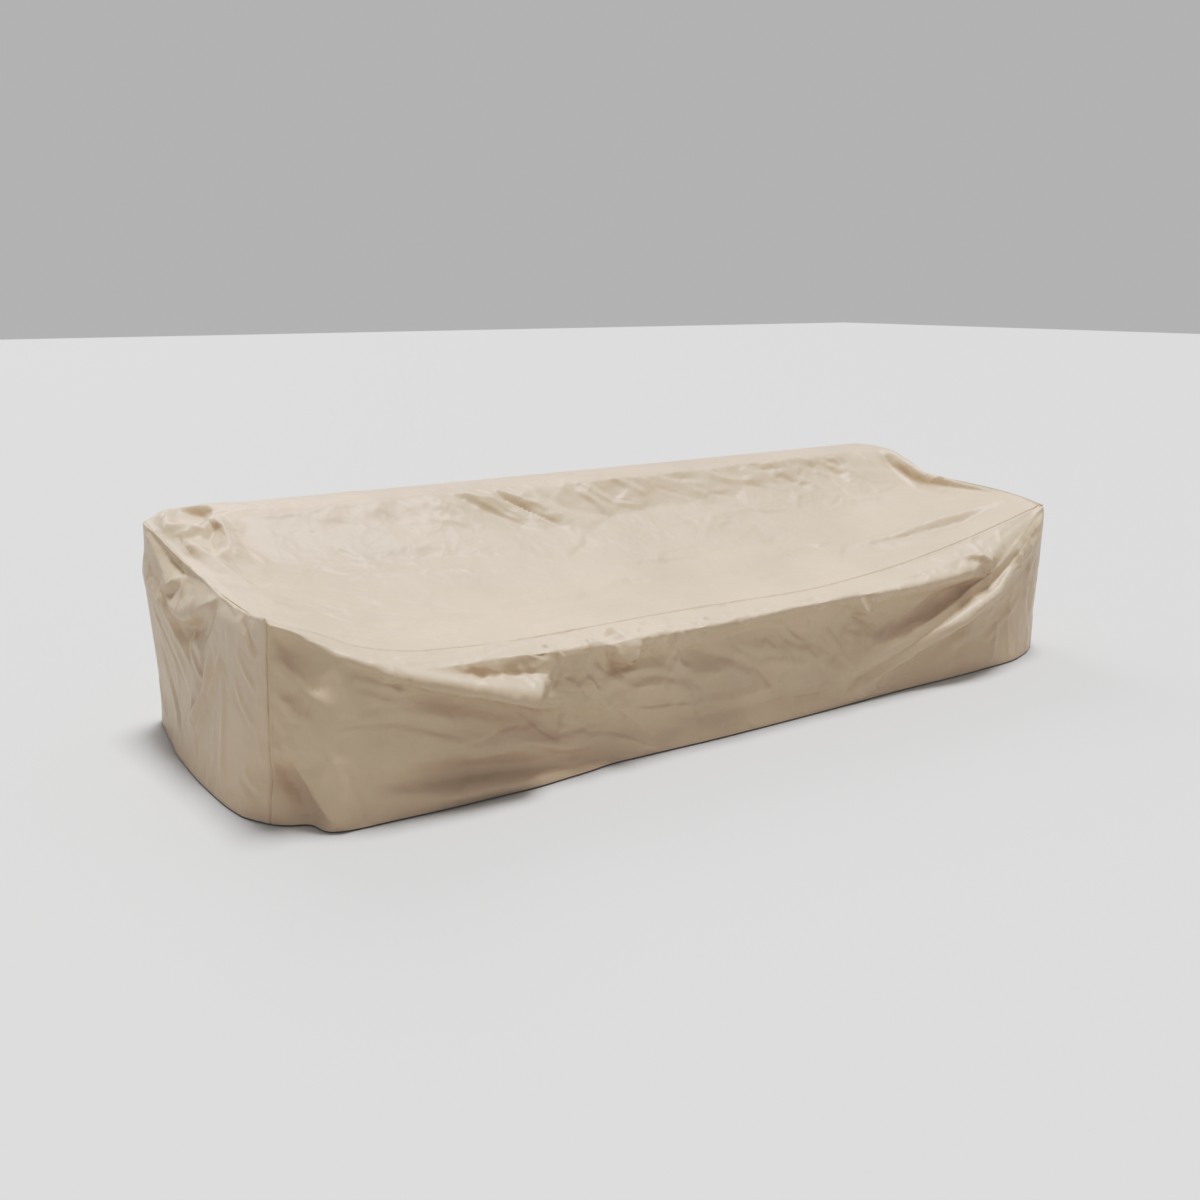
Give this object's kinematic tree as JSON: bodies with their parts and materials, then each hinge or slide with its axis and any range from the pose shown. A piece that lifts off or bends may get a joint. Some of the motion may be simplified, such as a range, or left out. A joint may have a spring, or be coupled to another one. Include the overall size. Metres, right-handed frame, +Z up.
{
  "type": "outdoor sofa cover",
  "caption": "Fitted cloth cover for a long, deep outdoor sofa, draped from the raised back over the seat and arms to a straight hem, hollow and open below.",
  "frame": {"origin": "the middle of the cover's length and depth, in the plane of its hem", "axes": "+X along the cover to the right end as seen from the front, +Y to its back, +Z up"},
  "size_m": [2.8536, 1.0556, 0.6154],
  "materials": {
    "cloth": "beige coated woven polyester with a soft satin sheen"
  },
  "bodies": {
    "root": {"top_panel": "cloth", "front_panel": "cloth", "left_panel": "cloth", "right_panel": "cloth", "back_panel": "cloth"}
  },
  "joints": []
}
